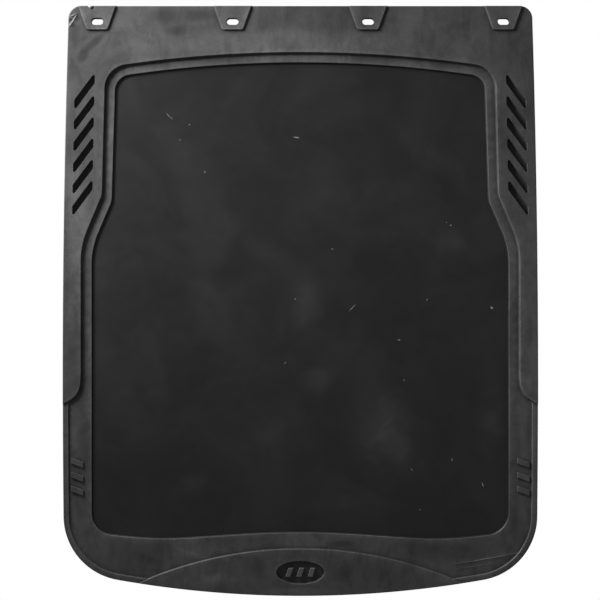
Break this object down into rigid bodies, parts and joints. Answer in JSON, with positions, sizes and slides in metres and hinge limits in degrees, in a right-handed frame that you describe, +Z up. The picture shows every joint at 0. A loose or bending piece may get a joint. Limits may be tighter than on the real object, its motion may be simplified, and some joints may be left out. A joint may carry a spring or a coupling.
{
  "type": "truck mud flap",
  "caption": "Moulded rubber mud flap with a stepped border, slotted mounting pads along the top, slanted side vents, a bare centre panel and a raised toe plate.",
  "frame": {"origin": "middle of the row of bolt slots, on the flat back face", "axes": "+Z up as the flap hangs, +X to the right seen from the moulded face, +Y out of the flat back towards the mounting bracket; the moulded face looks along -Y"},
  "size_m": [0.65, 0.012, 0.8065],
  "materials": {
    "rubber_matt": "matt moulded black rubber with a faint bloom",
    "rubber_panel": "smoother satin black rubber",
    "rubber_pad": "matt moulded black rubber, lightly worn"
  },
  "bodies": {
    "mounting_band": {"clamp_strip": "rubber_matt", "pad_outer_left": "rubber_pad", "pad_inner_left": "rubber_pad", "pad_inner_right": "rubber_pad", "pad_outer_right": "rubber_pad"},
    "upper_flap": {"upper_backing": "rubber_panel", "upper_ledge_top": "rubber_matt", "upper_ledge_left": "rubber_matt", "upper_ledge_right": "rubber_matt", "yoke_bridge": "rubber_matt", "yoke_arm_left": "rubber_matt", "yoke_arm_right": "rubber_matt"},
    "lower_flap": {"lower_backing": "rubber_panel", "lower_ledge_foot": "rubber_matt", "lower_ledge_left": "rubber_matt", "lower_ledge_right": "rubber_matt", "edge_bead_left": "rubber_matt", "edge_bead_right": "rubber_matt", "toe_plate": "rubber_matt", "toe_mark_bar_1": "rubber_matt", "toe_mark_bar_2": "rubber_matt", "toe_mark_bar_3": "rubber_matt", "side_mark_left": "rubber_matt", "side_mark_right": "rubber_matt"}
  },
  "joints": [
    {"name": "upper_bend", "type": "hinge", "parent": "mounting_band", "child": "upper_flap", "pos_m": [0, -0.005, -0.027], "axis": [-1, 0, 0], "range_deg": [-30, 50], "stiffness_Nm_per_rad": 2.5},
    {"name": "lower_bend", "type": "hinge", "parent": "upper_flap", "child": "lower_flap", "pos_m": [0, -0.0041, -0.528], "axis": [-1, 0, 0], "range_deg": [-30, 50], "stiffness_Nm_per_rad": 0.5}
  ]
}
